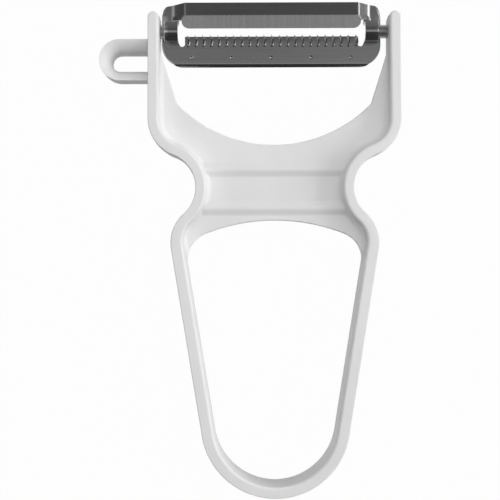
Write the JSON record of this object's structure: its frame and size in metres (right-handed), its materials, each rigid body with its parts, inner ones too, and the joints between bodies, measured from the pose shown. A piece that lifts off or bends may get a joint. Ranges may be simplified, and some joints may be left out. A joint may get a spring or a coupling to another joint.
{
  "type": "julienne peeler",
  "caption": "Y-shaped julienne peeler: white moulded handle with a finger loop and a side eye loop, and a swivelling stamped steel blade with a toothed bar below its cutting slot.",
  "frame": {"origin": "on the plane of symmetry, in the middle of the rim's back face at the heel of the grip", "axes": "+Y from the heel to the blade, +Z from the back rim to the working side, +X across towards the arm without the loop"},
  "size_m": [0.0777, 0.1284, 0.011],
  "materials": {
    "handle_plastic": "white injection-moulded plastic with a fine satin surface",
    "blade_steel": "stamped stainless sheet with a ground cutting bevel",
    "pin_steel": "drawn steel wire"
  },
  "bodies": {
    "handle": {"handle": "handle_plastic", "pivot_pin_left": "pin_steel", "pivot_pin_right": "pin_steel"},
    "blade": {"blade": "blade_steel"}
  },
  "joints": [
    {"name": "blade_swivel", "type": "hinge", "parent": "handle", "child": "blade", "pos_m": [0, 0.11886, 0.0055], "axis": [1, 0, 0], "continuous": true}
  ]
}
